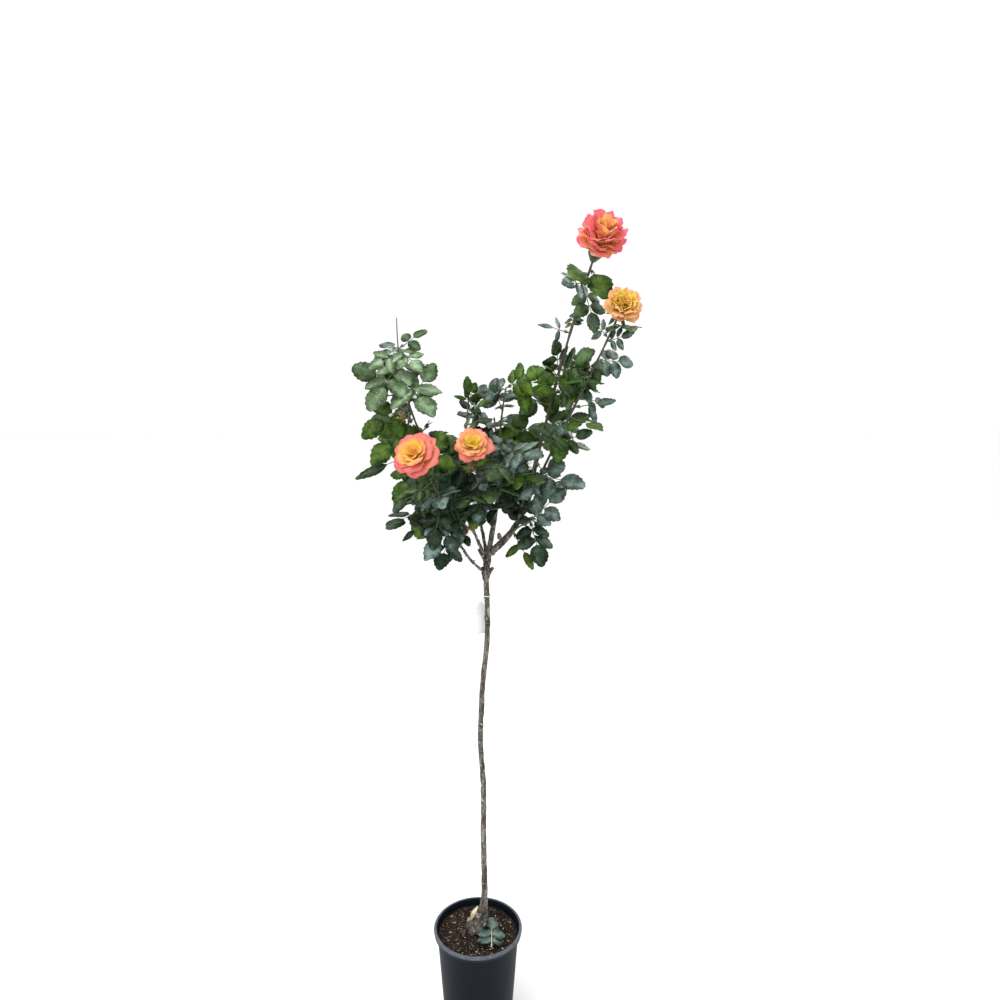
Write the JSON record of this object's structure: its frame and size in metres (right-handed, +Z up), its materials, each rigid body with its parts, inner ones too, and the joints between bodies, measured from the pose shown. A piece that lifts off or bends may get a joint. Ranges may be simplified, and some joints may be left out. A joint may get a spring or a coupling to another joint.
{
  "type": "potted standard rose bush",
  "caption": "Grafted standard rose in a plastic nursery pot: tall bare stem, open crown of leafy shoots above head height, and large double blooms on the shoot tips",
  "frame": {"origin": "middle of the flat underside of the pot", "axes": "+Z up along the stem, +X to the viewer's right and +Y away from the viewer, as seen from the picture's side"},
  "size_m": [0.6036, 0.435, 1.8797],
  "materials": {
    "pot": "near-black thin plastic with a satin sheen",
    "soil": "dark crumbly compost",
    "bark": "grey-brown bark, rough on the old wood",
    "leaf": "semi-gloss dark green leaf and green stem",
    "petal": "soft petals, pink at the rims and yellow inside",
    "tag": "blank white label plastic"
  },
  "bodies": {
    "root": {"pot": "pot", "soil": "soil", "trunk": "bark", "bough_right": "bark", "bough_centre": "bark", "bough_back": "bark", "bough_left_up": "bark", "bough_left_low": "bark", "shoot_tall": "leaf", "shoot_outer": "leaf", "shoot_right_mid": "leaf", "shoot_right_side": "leaf", "shoot_low_right": "leaf", "shoot_centre_top": "leaf", "shoot_core": "leaf", "shoot_mid_bloom": "leaf", "shoot_mid_twig": "leaf", "shoot_left_spray": "leaf", "shoot_left_bloom": "leaf", "shoot_low_left": "leaf", "shoot_low_front": "leaf", "shoot_back_left": "leaf", "shoot_back_right": "leaf", "shoot_back_top": "leaf", "bloom_top": "petal", "bloom_yellow": "petal", "bloom_left": "petal", "bloom_mid": "petal", "tag": "tag", "fallen_leaf": "leaf"}
  },
  "joints": []
}
